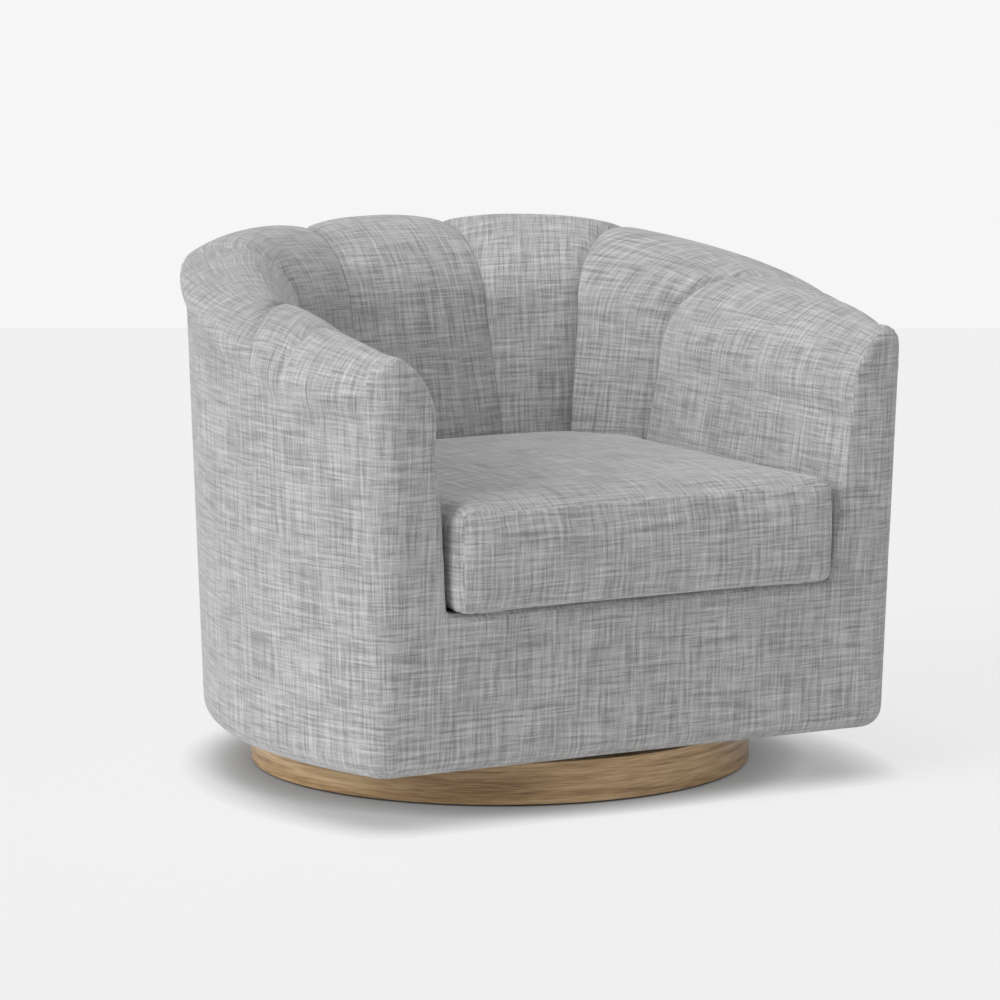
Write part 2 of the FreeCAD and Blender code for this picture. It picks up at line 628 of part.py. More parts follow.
glue = []
for i in range(len(corners)):
    cx, cy = inner_corners[i]
    legs = []
    for j in (i - 1, (i + 1) % len(corners)):
        nx, ny = inner_corners[j]
        run = math.hypot(nx - cx, ny - cy)
        legs.append((cx + (nx - cx) * 60 / run, cy + (ny - cy) * 60 / run))
    glue.append(prism([(cx, cy), legs[1], legs[0]], DECK, RAIL_TOP - 12))
feature("corner_blocks", Part.makeCompound(glue))


# Seat springs: five zigzag wires from the front rail to the back, each held by a clip at both ends
WIRE, REACH, ROWS_APART = 1.9, 20.0, 52.0
spring_z = RAIL_TOP + WIRE + 0.7


def rear_rail_y(x):
    """Middle line of the back and rear rails at a given x."""
    (x0, y0), (x1, y1) = corners[2], corners[3]
    if abs(x) <= x1:
        return y1 - WIDE / 2
    share = (x0 - abs(x)) / (x0 - x1)
    return y0 + (y1 - y0) * share - WIDE / 2 * math.hypot(x0 - x1, y1 - y0) / (x0 - x1)


def zigzag(x, y0, y1):
    rows = 2 * round((y1 - y0) / ROWS_APART / 2)
    half = (y1 - y0) / rows / 2
    edges, side = [], 1
    for n in range(rows + 1):
        y = y0 + 2 * half * n
        edges.append(Part.makeLine(V(x - side * REACH, y, spring_z), V(x + side * REACH, y, spring_z)))
        if n < rows:
            for a, b in ((-90, 0), (0, 90)):
                turn = [V(x + side * (REACH + half * math.cos(math.radians(t))),
                          y + half + half * math.sin(math.radians(t)), spring_z) for t in (a,
                                                                                           (a + b) / 2,
                                                                                           b)]
                edges.append(arc3(*turn))
        side = -side
    path = Part.Wire(edges)
    circle = Part.Wire(Part.makeCircle(WIRE, V(x - REACH, y0, spring_z), V(1, 0, 0)))
    return path.makePipe(Part.Face(circle))


springs, clips = [], []
for x in (-180, -90, 0, 90, 180):
    y0, y1 = corners[0][1] + WIDE / 2, rear_rail_y(x)
    springs.append(zigzag(x, y0, y1))
    for y in (y0, y1):
        clip = Part.makeBox(16, 9, 2 * WIRE + 1.6, V(x - 8, y - 4.5, RAIL_TOP))
        wire_way = Part.makeCylinder(WIRE, 20, V(x - 10, y, spring_z), V(1, 0, 0))
        clips.append(clip.cut(wire_way))
feature("seat_springs", Part.makeCompound(springs))
feature("spring_clips", Part.makeCompound(clips))

GAP = size("frame_gap")
seat_edge = [st.seat for st in right] + [st.seat for st in reversed(left)]
deck_side = [st.at(-st.toe, 0) for st in right + left[::-1]]
deck_edge = mitred([(p.x, max(p.y, FRONT_PLANE - BULGE)) for p in deck_side], BULGE + 2)
deck = prism(deck_edge, FLOOR, size("seat_floor"))
feature("deck_pad", deck)


# Wall frame: inner board behind the channels, rails under the crest, posts and arm boards
def board_share(st, z):
    """Share at which the channels' back face lies at height z."""
    rise = (z - FLOOR) / (rail_top(st) - FLOOR)
    return INNER + (RAIL_IN - INNER) * min(max(rise, 0.0), 1.0)


def inner_board(st):
    low = rail_top(st) - size("rail_thickness") - GAP
    a, b, thick = board_share(st, FLOOR) + 0.004, board_share(st, low) + 0.004, 0.028
    return [(a, DECK + 0.3), (a, FLOOR), (b, low), (b + thick, low), (a + thick, FLOOR),
            (a + thick, DECK + 0.3)]


def crest_rail(st):
    high = rail_top(st) - GAP
    return [(RAIL_IN + 0.004, high - size("rail_thickness")),
            (RAIL_OUT - 0.004, high - size("rail_thickness")),
            (RAIL_OUT - 0.004, high), (RAIL_IN + 0.004, high)]


def rail_foot(st):
    return rail_top(st) - GAP - size("rail_thickness")


feature("inner_board", ruled(inner_board, stations))
feature("arm_rail_left", ruled(crest_rail, stations[0:4]))
feature("top_rail", ruled(crest_rail, stations[3:7]))
feature("arm_rail_right", ruled(crest_rail, stations[6:10]))


def post(st, depth, width):
    """An upright from the base board to the crest rail, square to the station."""
    centre = (RAIL_IN + RAIL_OUT) / 2 * st.span
    across = (-st.way[1], st.way[0])
    points = []
    for s, t in ((-depth, -width), (depth, -width), (depth, width), (-depth, width)):
        p = st.at(centre + s / 2, 0)
        points.append((p.x + across[0] * t / 2, p.y + across[1] * t / 2))
    return prism(points, DECK, rail_foot(st) - 8)


feature("back_posts", Part.makeCompound([post(st, 34, 38) for st in stations[3:7]]))
arm_stations = [stations[1], between(stations[1], stations[2], 0, 0),
                between(stations[7], stations[8], 0, 0),
                stations[8]]
feature("arm_posts", Part.makeCompound([post(st, 24, 34) for st in arm_stations]))
board_y0, board_y1 = FRONT_PLANE + GAP, FRONT_PLANE + 20
for side, st in (("left", left[0]), ("right", right[0])):
    sign = -1 if side == "left" else 1
    x0 = size("arm_seat_x")
    low_in, top_in = x0 + 0.29 * st.span, x0 + 0.57 * st.span
    outline = [(low_in, DECK), (x0 + 0.56 * st.span, DECK), (x0 + 0.76 * st.span, rail_foot(st) - 2.5),
               (top_in, rail_foot(st) - 2.5), (low_in, FLOOR)]
    wire = Part.makePolygon([V(sign * x, board_y0, z) for x, z in outline + outline[:1]])
    feature(f"arm_board_{side}", Part.Face(wire).extrude(V(0, board_y1 - board_y0, 0)))


# Loose seat cushion: a crowned slab cut to the seat's plan, its sides drawn in above and below
clear = mitred(seat_edge, BULGE + size("cushion_gap"))
half, front, corner = size("cushion_half_width"), size("cushion_front"), size("cushion_corner")
cushion_edge = [(-half, -front), (half, -front)] + clear[1:-1]


def cushion_plan(z, inset):
    """The cushion's outline at a height, drawn in by an inset, its two front corners rounded."""
    points = [V(x, y, z) for x, y in mitred(cushion_edge, inset)]
    k = corner * (1 - math.sqrt(0.5))
    left_x, right_x, y = points[0].x, points[1].x, points[0].y
    ends = [V(right_x, y + corner, z)] + points[2:] + [V(left_x, y + corner, z)]
    return Part.Wire([
        Part.makeLine(V(left_x + corner, y, z), V(right_x - corner, y, z)),
        arc3(V(right_x - corner, y, z), V(right_x - k, y + k, z), ends[0]),
        *[Part.makeLine(p, q) for p, q in zip(ends, ends[1:])],
        arc3(ends[-1], V(left_x + k, y + k, z), V(left_x + corner, y, z)),
    ])


low, high = size("cushion_bottom"), size("cushion_edge_top") + size("cushion_crown") + 14
levels = [(low, 12.0), (low + 7, 5.5), (low + 24, 1.8), (low + 66, 0.0), (low + 108, 1.8),
          (low + 126, 5.5),
          (low + 137, 12.0), (high, 24.0)]
sides = Part.makeLoft([cushion_plan(z, inset) for z, inset in levels], True, False)


def crown_section(y, edge, crown):
    wide = half + 40
    return Part.Wire([
        Part.makeLine(V(-wide, y, low - 5), V(wide, y, low - 5)),
        Part.makeLine(V(wide, y, low - 5), V(wide, y, edge - 8)),
        arc3(V(wide, y, edge - 8), V(0, y, edge + crown), V(-wide, y, edge - 8)),
        Part.makeLine(V(-wide, y, edge - 8), V(-wide, y, low - 5)),
    ])


edge, crown = size("cushion_edge_top"), size("cushion_crown")
profile = [(-430, edge - 9, 4), (-395, edge, crown * 0.6), (-150, edge + 2, crown),
           (60, edge - 10, crown * 0.7),
           (200, edge - 24, 0.5)]
top = Part.makeLoft([crown_section(*row) for row in profile], True, False)
cushion = sides.common(top)
feature("seat_cushion", largest(cushion))


# Check every object, then write each piece
def close():
    doc.recompute()
    for obj in doc.Objects:
        if "Invalid" in obj.State or "Error" in obj.State:
            raise RuntimeError(f"{obj.Name} failed: {obj.State}")
    total = None
    for obj in SUBPARTS:
        shape = obj.Shape
        if shape.isNull() or not shape.isValid() or not shape.Solids:
            raise RuntimeError(f"{obj.Label} has no valid shape")
        shape.exportStep(os.path.join("parts", obj.Label + ".step"))
        box = shape.BoundBox
        total = box if total is None else total.united(box)
        print(f"{obj.Label:22s} solids {len(shape.Solids):2d} volume {shape.Volume / 1000:9.1f} cm3")
    print("pieces", len(SUBPARTS), "box", total)


close()
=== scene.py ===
"""Swivel barrel chair: the looks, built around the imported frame. Shapes are worked out in mm."""
import json
import math

import bpy
import bmesh
import numpy as np
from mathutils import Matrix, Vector
from mathutils.kdtree import KDTree


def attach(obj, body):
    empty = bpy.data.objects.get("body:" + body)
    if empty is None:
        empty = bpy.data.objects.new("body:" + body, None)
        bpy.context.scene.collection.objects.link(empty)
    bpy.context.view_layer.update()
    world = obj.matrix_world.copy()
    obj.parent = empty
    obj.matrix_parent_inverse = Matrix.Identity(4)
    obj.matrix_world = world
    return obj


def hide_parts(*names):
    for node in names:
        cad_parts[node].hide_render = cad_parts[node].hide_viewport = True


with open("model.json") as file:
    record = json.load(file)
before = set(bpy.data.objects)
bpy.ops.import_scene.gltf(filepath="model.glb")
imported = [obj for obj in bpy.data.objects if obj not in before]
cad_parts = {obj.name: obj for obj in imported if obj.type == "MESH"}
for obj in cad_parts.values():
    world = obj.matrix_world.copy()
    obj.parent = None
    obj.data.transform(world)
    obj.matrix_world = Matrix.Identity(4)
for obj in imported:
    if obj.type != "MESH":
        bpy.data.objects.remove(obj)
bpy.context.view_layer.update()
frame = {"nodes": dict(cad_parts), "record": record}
nodes = frame["nodes"]
scene = bpy.context.scene
MM = 0.001

# ---------- camera: the photograph's viewing angle ----------
AZIMUTH, ELEVATION = math.radians(28.487), math.radians(8.705)
TARGET, DISTANCE = Vector((0.0, 0.00027, 0.343)), 6.6592  # metres
SENSOR, FOCAL_PIXELS, PICTURE_PIXELS = 36.0, 5037.6, 1000.0
forward = Vector((math.sin(AZIMUTH) * math.cos(ELEVATION), math.cos(AZIMUTH) * math.cos(ELEVATION),
                  -math.sin(ELEVATION)))
camera = bpy.data.objects.new("camera", bpy.data.cameras.new("camera"))
camera.location = TARGET - forward * DISTANCE
camera.rotation_euler = forward.to_track_quat("-Z", "Y").to_euler()
camera.data.sensor_width = SENSOR
camera.data.lens = FOCAL_PIXELS * SENSOR / PICTURE_PIXELS
camera.data.clip_end = 60.0
scene.collection.objects.link(camera)
scene.camera = camera
scene.view_settings.view_transform = "Standard"


# ---------- node helpers ----------
class Graph:
    """A small builder for a material's nodes."""

    def __init__(self, name):
        self.material = bpy.data.materials.new(name)
        self.material.use_nodes = True
        self.tree = self.material.node_tree
        self.tree.nodes.clear()
        self.out = self.add("ShaderNodeOutputMaterial")
        self.shader = self.add("ShaderNodeBsdfPrincipled")
        self.link(self.shader.outputs[0], self.out.inputs[0])

    def add(self, kind, **props):
        node = self.tree.nodes.new(kind)
        for key, value in props.items():
            setattr(node, key, value)
        return node

    def link(self, a, b):
        self.tree.links.new(a, b)

    def put(self, socket, value):
        if isinstance(value, bpy.types.NodeSocket):
            self.link(value, socket)
        else:
            socket.default_value = value

    def maths(self, operation, a, b=0.0, c=0.0):
        node = self.add("ShaderNodeMath", operation=operation)
        for i, value in enumerate((a, b, c)):
            self.put(node.inputs[i], value)
        return node.outputs[0]

    def scaled(self, vector, scale, shift=(0.0, 0.0, 0.0)):
        node = self.add("ShaderNodeVectorMath", operation="MULTIPLY_ADD")
        self.put(node.inputs[0], vector)
        node.inputs[1].default_value = scale
        node.inputs[2].default_value = shift
        return node.outputs[0]

    def split(self, vector):
        node = self.add("ShaderNodeSeparateXYZ")
        self.link(vector, node.inputs[0])
        return node.outputs[0], node.outputs[1]

    def noise(self, vector, scale=1.0, detail=2.0, roughness=0.5, flat=False):
        node = self.add("ShaderNodeTexNoise", noise_dimensions="2D" if flat else "3D")
        self.put(node.inputs["Vector"], vector)
        node.inputs["Scale"].default_value = scale
        node.inputs["Detail"].default_value = detail
        node.inputs["Roughness"].default_value = roughness
        return node.outputs["Fac"]

    def ramp(self, fac, stops):
        node = self.add("ShaderNodeValToRGB")
        self.put(node.inputs[0], fac)
        elements = node.color_ramp.elements
        while len(elements) < len(stops):
            elements.new(0.5)
        for element, (position, colour) in zip(elements, stops):
            element.position = position
            element.color = (*colour, 1.0)
        return node.outputs[0]

    def spread(self, value, low, high, to_low=0.0, to_high=1.0):
        node = self.add("ShaderNodeMapRange")
        self.put(node.inputs[0], value)
        for i, number in enumerate((low, high, to_low, to_high), start=1):
            node.inputs[i].default_value = number
        return node.outputs[0]

    def bump(self, height, distance, strength=1.0, normal=None):
        node = self.add("ShaderNodeBump")
        node.inputs["Strength"].default_value = strength
        node.inputs["Distance"].default_value = distance
        self.put(node.inputs["Height"], height)
        if normal is not None:
            self.link(normal, node.inputs["Normal"])
        return node.outputs[0]

    def finish(self, colour=None, normal=None, **values):
        if colour is not None:
            self.put(self.shader.inputs["Base Color"], colour)
        if normal is not None:
            self.link(normal, self.shader.inputs["Normal"])
        for key, value in values.items():
            self.put(self.shader.inputs[key.replace("_", " ")], value)
        return self.material


def grey(value, warm=0.0):
    return (value * (1 + warm), value, value * (1 - warm))


LINEN_TONES = [(0.34, grey(0.24)), (0.438, grey(0.345)), (0.52, grey(0.435)), (0.602, grey(0.52)),
               (0.70, grey(0.64))]
RIB = 0.0021  # metres from one rib of the weave to the next
THICK_YARN, SLUB, PALE_YARN, GRAIN, PATCH = 0.62, 0.13, 0.10, 0.34, 0.10  # shares in the cloth's tone


def linen(name, seed):
    """Heathered linen: warp and weft streaks of uneven yarn, along the mesh's own panel map in metres."""
    g = Graph(name)
    uv = g.add("ShaderNodeUVMap", uv_map="panel").outputs[0]
    wander = g.noise(g.scaled(uv, (14, 14, 1), (seed, seed, 0)), detail=2)
    drift = g.scaled(wander, (0.004, 0.004, 0.0), (-0.002, -0.002, 0.0))
    add = g.add("ShaderNodeVectorMath", operation="ADD")
    g.link(uv, add.inputs[0])
    g.link(drift, add.inputs[1])
    at = add.outputs[0]

    def yarns(across, along, shift, vertical):
        """Streaks of one sort of yarn, by their number in a metre across them and along them."""
        scale = (across, along, 1) if vertical else (along, across, 1)
        place = g.scaled(at, scale, (shift + seed * 3.1, shift * 1.7 + seed, 0))
        return g.noise(place, detail=1, roughness=0.6, flat=True)

    sets = []
    for vertical in (True, False):
        shift = 3.7 if vertical else 11.3
        thick = yarns(235, 11, shift, vertical)
        thin = yarns(640, 34, shift + 5, vertical)
        slub = g.spread(yarns(370, 19, shift + 9, vertical), 0.60, 0.74)
        pale = g.spread(yarns(440, 22, shift + 14, vertical), 0.62, 0.76)
        tone = g.maths("MULTIPLY_ADD", thick, THICK_YARN, g.maths("MULTIPLY", thin, 1 - THICK_YARN))
        tone = g.maths("SUBTRACT", tone, g.maths("MULTIPLY", slub, SLUB))
        sets.append(g.maths("ADD", tone, g.maths("MULTIPLY", pale, PALE_YARN)))
    grain = g.noise(g.scaled(uv, (900, 900, 1), (seed, 0, 0)), detail=1, flat=True)
    cross = g.maths("MULTIPLY_ADD", sets[0], 0.5, g.maths("MULTIPLY", sets[1], 0.5))
    cross = g.maths("MULTIPLY_ADD", g.maths("SUBTRACT", grain, 0.5), GRAIN, cross)
    patch = g.noise(g.scaled(uv, (16, 16, 1), (seed * 5.0, 2, 0)), detail=3)
    cross = g.maths("MULTIPLY_ADD", g.maths("SUBTRACT", patch, 0.5), PATCH, cross)
    colour = g.ramp(cross, LINEN_TONES)
    ribs = [g.maths("SINE", g.maths("MULTIPLY", part, 2 * math.pi / RIB)) for part in g.split(at)]
    weave = g.maths("MULTIPLY", ribs[0], ribs[1])
    height = g.maths("MULTIPLY_ADD", weave, 0.35, g.maths("MULTIPLY", cross, 2.2))
    normal = g.bump(height, 0.0005, 0.55)
    return g.finish(colour, normal, Roughness=0.92, Sheen_Weight=0.35, Sheen_Roughness=0.5,
                    Specular_IOR_Level=0.25)


def timber(name, stops, across=(3.0, 3.0, 55.0), rough=0.55, bump=0.0004):
    """Wood with its grain along the world's flat directions: dark and pale streaks and short pores."""
    g = Graph(name)
    place = g.add("ShaderNodeTexCoord").outputs["Object"]
    bend = g.noise(g.scaled(place, tuple(s * 0.35 for s in across)), detail=3)
    mixed = g.add("ShaderNodeVectorMath", operation="ADD")
    g.link(g.scaled(place, across), mixed.inputs[0])
    g.link(g.scaled(bend, (0.0, 0.0, 2.4)), mixed.inputs[1])
    streak = g.noise(mixed.outputs[0], detail=5, roughness=0.6)
    pores = g.noise(g.scaled(place, tuple(s * 6 for s in across)), detail=2)
    tone = g.maths("MULTIPLY_ADD", streak, 0.66, g.maths("MULTIPLY", pores, 0.34))
    colour = g.ramp(tone, stops)
    return g.finish(colour, g.bump(tone, bump, 0.6), Roughness=rough)


def metal(name, colour, rough, scale=60.0):
    """Bare or plated metal with faint clouds in its tone and its polish."""
    g = Graph(name)
    place = g.add("ShaderNodeTexCoord").outputs["Object"]
    cloud = g.noise(place, scale, 3)
    tone = g.ramp(cloud, [(0.3, tuple(c * 0.8 for c in colour)), (0.7, colour)])
    fine = g.noise(place, scale * 20, 2)
    return g.finish(tone, g.bump(fine, 0.00005, 0.5), Metallic=1.0,
                    Roughness=g.spread(cloud, 0.3, 0.7, rough, rough + 0.15))


def plain(name, colour, rough, scale, depth=0.0002):
    """A matt material mottled at its own scale: felt, nylon, dust cloth or deck cloth."""
    g = Graph(name)
    place = g.add("ShaderNodeTexCoord").outputs["Object"]
    cloud = g.noise(place, scale, 4, 0.6)
    dark, pale = tuple(c * 0.72 for c in colour), tuple(min(1, c * 1.15) for c in colour)
    tone = g.ramp(cloud, [(0.35, dark), (0.65, pale)])
    return g.finish(tone, g.bump(cloud, depth, 0.7), Roughness=rough)


# ---------- mesh helpers ----------
def mesh_object(name, points, faces, uvs=None, smooth=True):
    """A mesh from points in mm, with an optional panel map in mm, one pair for each face corner."""
    mesh = bpy.data.meshes.new(name)
    mesh.from_pydata([tuple(p) for p in np.asarray(points, float) * MM], [],
                     [list(map(int, f)) for f in faces])
    if uvs is not None:
        layer = mesh.uv_layers.new(name="panel")
        layer.data.foreach_set("uv", (np.asarray(uvs, np.float32) * MM).ravel())
    if smooth:
        mesh.shade_smooth()
    obj = bpy.data.objects.new(name, mesh)
    scene.collection.objects.link(obj)
    return obj


def coordinates(mesh):
    co = np.zeros(len(mesh.vertices) * 3, np.float32)
    mesh.vertices.foreach_get("co", co)
    return co.reshape(-1, 3).astype(float)


def only(obj):
    bpy.ops.object.select_all(action="DESELECT")
    obj.select_set(True)
    bpy.context.view_layer.objects.active = obj


def apply_modifiers(obj):
    only(obj)
    for modifier in list(obj.modifiers):
        bpy.ops.object.modifier_apply(modifier=modifier.name)


# ---------- the body's outline in plan, the same arcs as the frame's ----------
FRONT, CORNER, CORNER_X, SIDE, BACK = 397.0, 51.0, 340.0, 618.0, 409.0
CORNER_Y = CORNER - FRONT
WAIST = 600.0


def side_centre():
    """The middle of the side's arc, which runs on into the front corner's arc and the back's."""
    a, b, gap = SIDE - CORNER, SIDE - BACK, math.hypot(CORNER_X, CORNER_Y)
    along = (a * a - b * b + gap * gap) / (2 * gap)
    across = math.sqrt(a * a - along * along)
    ux, uy = -CORNER_X / gap, -CORNER_Y / gap
    return CORNER_X + ux * along - uy * across, CORNER_Y + uy * along + ux * across


SX, SY = side_centre()
SIDE_START, SIDE_END = math.atan2(CORNER_Y - SY, CORNER_X - SX), math.atan2(-SY, -SX)


def overshoot(x, y):
    """How far a point lies outside the outline at the waist."""
    x = abs(x)
    if -math.pi / 2 <= math.atan2(y - CORNER_Y, x - CORNER_X) <= SIDE_START:
        return math.hypot(x - CORNER_X, y - CORNER_Y) - CORNER
    if SIDE_START <= math.atan2(y - SY, x - SX) <= SIDE_END:
        return math.hypot(x - SX, y - SY) - SIDE
    if math.atan2(y, x) >= SIDE_END:
        return math.hypot(x, y) - BACK
    return -FRONT - y


def outline_run(x, y):
    """How far round the outline a point near the wall lies from the middle of the front, on either side,
    and whether that is past the front corner."""
    ax = np.abs(x)
    corner_angle = np.arctan2(y - CORNER_Y, ax - CORNER_X)
    side_angle = np.clip(np.arctan2(y - SY, ax - SX), SIDE_START, SIDE_END)
    back_angle = np.clip(np.arctan2(y, ax), SIDE_END, math.pi / 2)
    in_corner = (ax > CORNER_X) & (corner_angle < SIDE_START)
    past = (corner_angle >= SIDE_START) & (y > CORNER_Y - CORNER) & ((ax > CORNER_X) | (y > CORNER_Y))
    near = np.where(in_corner, CORNER_X + CORNER * (corner_angle + math.pi / 2), np.minimum(ax, CORNER_X))
    far = (CORNER_X + CORNER * (SIDE_START + math.pi / 2) + SIDE * (side_angle - SIDE_START)
           + BACK * (back_angle - SIDE_END))
    return np.where(past, far, near), past


def depth_inside(x, y):
    """How far points lie inside the outline at the waist."""
    ax = np.abs(x)
    corner_angle, side_angle = np.arctan2(y - CORNER_Y, ax - CORNER_X), np.arctan2(y - SY, ax - SX)
    in_corner = (corner_angle >= -math.pi / 2) & (corner_angle <= SIDE_START)
    in_side = (side_angle >= SIDE_START) & (side_angle <= SIDE_END)
    depths = [CORNER - np.hypot(ax - CORNER_X, y - CORNER_Y), SIDE - np.hypot(ax - SX, y - SY),
              BACK - np.hypot(x, y)]
    return np.select([in_corner, in_side, np.arctan2(y, ax) >= SIDE_END], depths, FRONT + y)


HALF_ROUND = float(outline_run(np.array([0.0]), np.array([BACK]))[0][0])


def ring_place(x, y, right_wall):
    """Place round the body, from 0 at the middle of the back, less to the left and on over the front."""
    run = outline_run(x, y)[0]
    left_part = np.where(x < 0, -(HALF_ROUND - run), -(HALF_ROUND + run))
    return np.where(right_wall, HALF_ROUND - run, left_part)


# ---------- stations round the seat, from the left arm's front to the right arm's ----------
FLOOR, SEAT_LINE, FLARE, HANG = 256.0, 395.0, 115.0, 26.0
SHOULDER = 0.435
RAIL_IN, RAIL_OUT, INNER, RAIL_BELOW = 0.52, 0.80, 0.24, 52.0
SEAMS = [  # seat x, seat y, crest x, crest y, top, lean, drop, proud, toe
    (287, -354.7, 352, -354.7, 597, 12, 53, 0.8, 11),
    (267, -180, 369, -211, 616, 13, 64, 1, 0),
    (258, 64, 344, -40, 627, 20, 44, 3, 0),
    (194, 158, 275, 201, 677, 18, 19, 17, 0),
    (102, 176, 104, 366, 678, 50, 23, 1, 0),
]
# how far each channel swells at its crest and on its inner face
CROWNS = [(2, 3), (5, 4), (3, 4), (11, 4), (11, 4), (11, 4), (3, 4), (5, 4), (2, 3)]
# depth of the sewn line at the crest, seam by seam
GROOVES = [0.0, 3.0, 5.5, 6.0, 3.0, 3.0, 6.0, 5.5, 3.0, 0.0]
GROOVE_WIDTH = 8.0


class Station:
    """A vertical section from a point on the seat's edge out to the body's outline."""

    def __init__(self, row, sign):
        seat_x, seat_y, crest_x, crest_y, self.top, self.lean, self.drop, self.proud, self.toe = row
        self.seat = np.array([seat_x * sign, seat_y], float)
        run = np.array([(crest_x - seat_x) * sign, crest_y - seat_y], float)
        self.crest = float(np.hypot(*run))
        self.way = run / self.crest
        self.reach = self.span = self.to_outline()

    def to_outline(self):
        """How far the station runs before it leaves the outline, by halving."""
        low, high = 0.0, 600.0
        for _ in range(60):
            mid = (low + high) / 2
            if overshoot(*(self.seat + self.way * mid)) > 0:
                high = mid
            else:
                low = mid
        return low

    def at(self, s, z):
        p = self.seat + self.way * s
        return np.array([p[0], p[1], z])


def between(a, b):
    """The station midway between two seams, where the channel stands out most."""
    m = Station.__new__(Station)
    m.seat = (a.seat + b.seat) / 2
    run = (a.at(a.span, 0) + b.at(b.span, 0))[:2] / 2 - m.seat
    m.span = float(np.hypot(*run))
    m.way = run / m.span
    m.reach = m.to_outline()
    m.crest = m.reach - ((a.reach - a.crest) + (b.reach - b.crest)) / 2
    m.top, m.lean, m.drop = (a.top + b.top) / 2, (a.lean + b.lean) / 2, (a.drop + b.drop) / 2
    m.proud, m.toe = (a.proud + b.proud) / 2 + 2.0, (a.toe + b.toe) / 2
    return m


def arc_points(a, b, c, count):
    """Points along the circle's arc from a through b to c."""
    n = np.cross(b - a, c - a)
    n /= np.linalg.norm(n)
    centre = np.linalg.solve(np.array([n, b - a, c - a]),
                             np.array([n @ a, (b - a) @ (a + b) / 2, (c - a) @ (a + c) / 2]))
    e1 = a - centre
    radius = np.linalg.norm(e1)
    e1 /= radius
    e2 = np.cross(n, e1)
    sweep = math.atan2((c - centre) @ e2, (c - centre) @ e1) % (2 * math.pi)
    return [centre + radius * (math.cos(t) * e1 + math.sin(t) * e2) for t in np.linspace(0, sweep, count)]


EYE = math.sqrt(0.5)
SKIN = 84  # points along a channel's cloth from the seat to the wall
DENSE, BLUR, BLUR_REACH = 400, 6.0, 24  # points of the fine line, and the softening of its joins
TUCK = 0.4  # how far the cloth's end is pressed into the wall
LANDMARKS = [0.0, 0.30, 0.61, 0.83, 1.0]  # seat, foot of the flare, crest, roll edge, end on the wall


def skin_profile(st):
    """The cloth's line from the seat up the inner face, over the crest and down to the wall, in even steps
    between its landmarks: the foot of the flare, the crest and the roll's edge."""
    flare_z, edge_z, hang = st.top - FLARE, st.top - st.drop, st.top - st.drop - HANG
    outer = st.reach + st.proud
    a, line, b = st.at(-st.toe, FLOOR), st.at(0, SEAT_LINE), st.at(st.lean, flare_z)
    c, d, e = st.at(st.crest, st.top), st.at(outer, edge_z), st.at(st.reach - TUCK, hang)
    flare = st.at(st.lean + (1 - EYE) * (st.crest - st.lean), flare_z + EYE * FLARE)
    over = st.at(st.crest + EYE * (outer - st.crest), st.top - SHOULDER * st.drop)
    under = st.at(outer - (outer - st.reach + TUCK) * 0.3, (edge_z + hang) / 2 - 4)
    parts = [np.array([a, line, b]), np.array(arc_points(b, flare, c, 30)),
             np.array(arc_points(c, over, d, 30)), np.array(arc_points(d, under, e, 14))]
    lengths = [np.linalg.norm(np.diff(part, axis=0), axis=1).sum() for part in parts]
    marks = np.concatenate([[0], np.cumsum(lengths)]) / sum(lengths)
    dense = resample(np.concatenate([parts[0]] + [part[1:] for part in parts[1:]]), DENSE)
    kernel = np.exp(-0.5 * (np.arange(-BLUR_REACH, BLUR_REACH + 1) / BLUR) ** 2)
    kernel /= kernel.sum()
    padded = np.concatenate([2 * dense[0] - dense[BLUR_REACH:0:-1], dense,
                             2 * dense[-1] - dense[-2:-BLUR_REACH - 2:-1]])
    soft = np.stack([np.convolve(padded[:, k], kernel, "valid") for k in range(3)], 1)
    shares = np.interp(np.linspace(0, 1, SKIN), LANDMARKS, marks)
    return np.stack([np.interp(shares, np.linspace(0, 1, DENSE), soft[:, k]) for k in range(3)], 1)


def resample(path, count):
    """The same path with its points at even steps."""
    step = np.linalg.norm(np.diff(path, axis=0), axis=1)
    run = np.concatenate([[0], np.cumsum(step)])
    wanted = np.linspace(0, run[-1], count)
    return np.stack([np.interp(wanted, run, path[:, k]) for k in range(3)], 1)


def frame_line(st):
    """The hidden back of the padding, where it lies on the frame."""
    hang, rail = st.top - st.drop - HANG, st.top - RAIL_BELOW
    return np.array([st.at(RAIL_OUT * st.span, hang), st.at(RAIL_OUT * st.span, rail),
                     st.at(RAIL_IN * st.span, rail), st.at(INNER * st.span, FLOOR)])


right = [Station(row, 1.0) for row in SEAMS]
left = [Station(row, -1.0) for row in SEAMS]
stations = left + right[::-1]
COLUMNS = 41


def sewn_lines(index, s, t, chord):
    """How deep the two seams draw a channel's cloth in, for a grid of shares across it and along it."""
    total = 0
    for deep, away in ((GROOVES[index], t), (GROOVES[index + 1], 1 - t)):
        along = np.interp(s, [0, 0.3, 0.61, 0.83, 0.95], [0.25 * deep, 0.4 * deep, deep, 0.8 * deep, 0])
        total = total + along[None, :] * np.exp(-(away[:, None] * chord / GROOVE_WIDTH) ** 2)
    return total


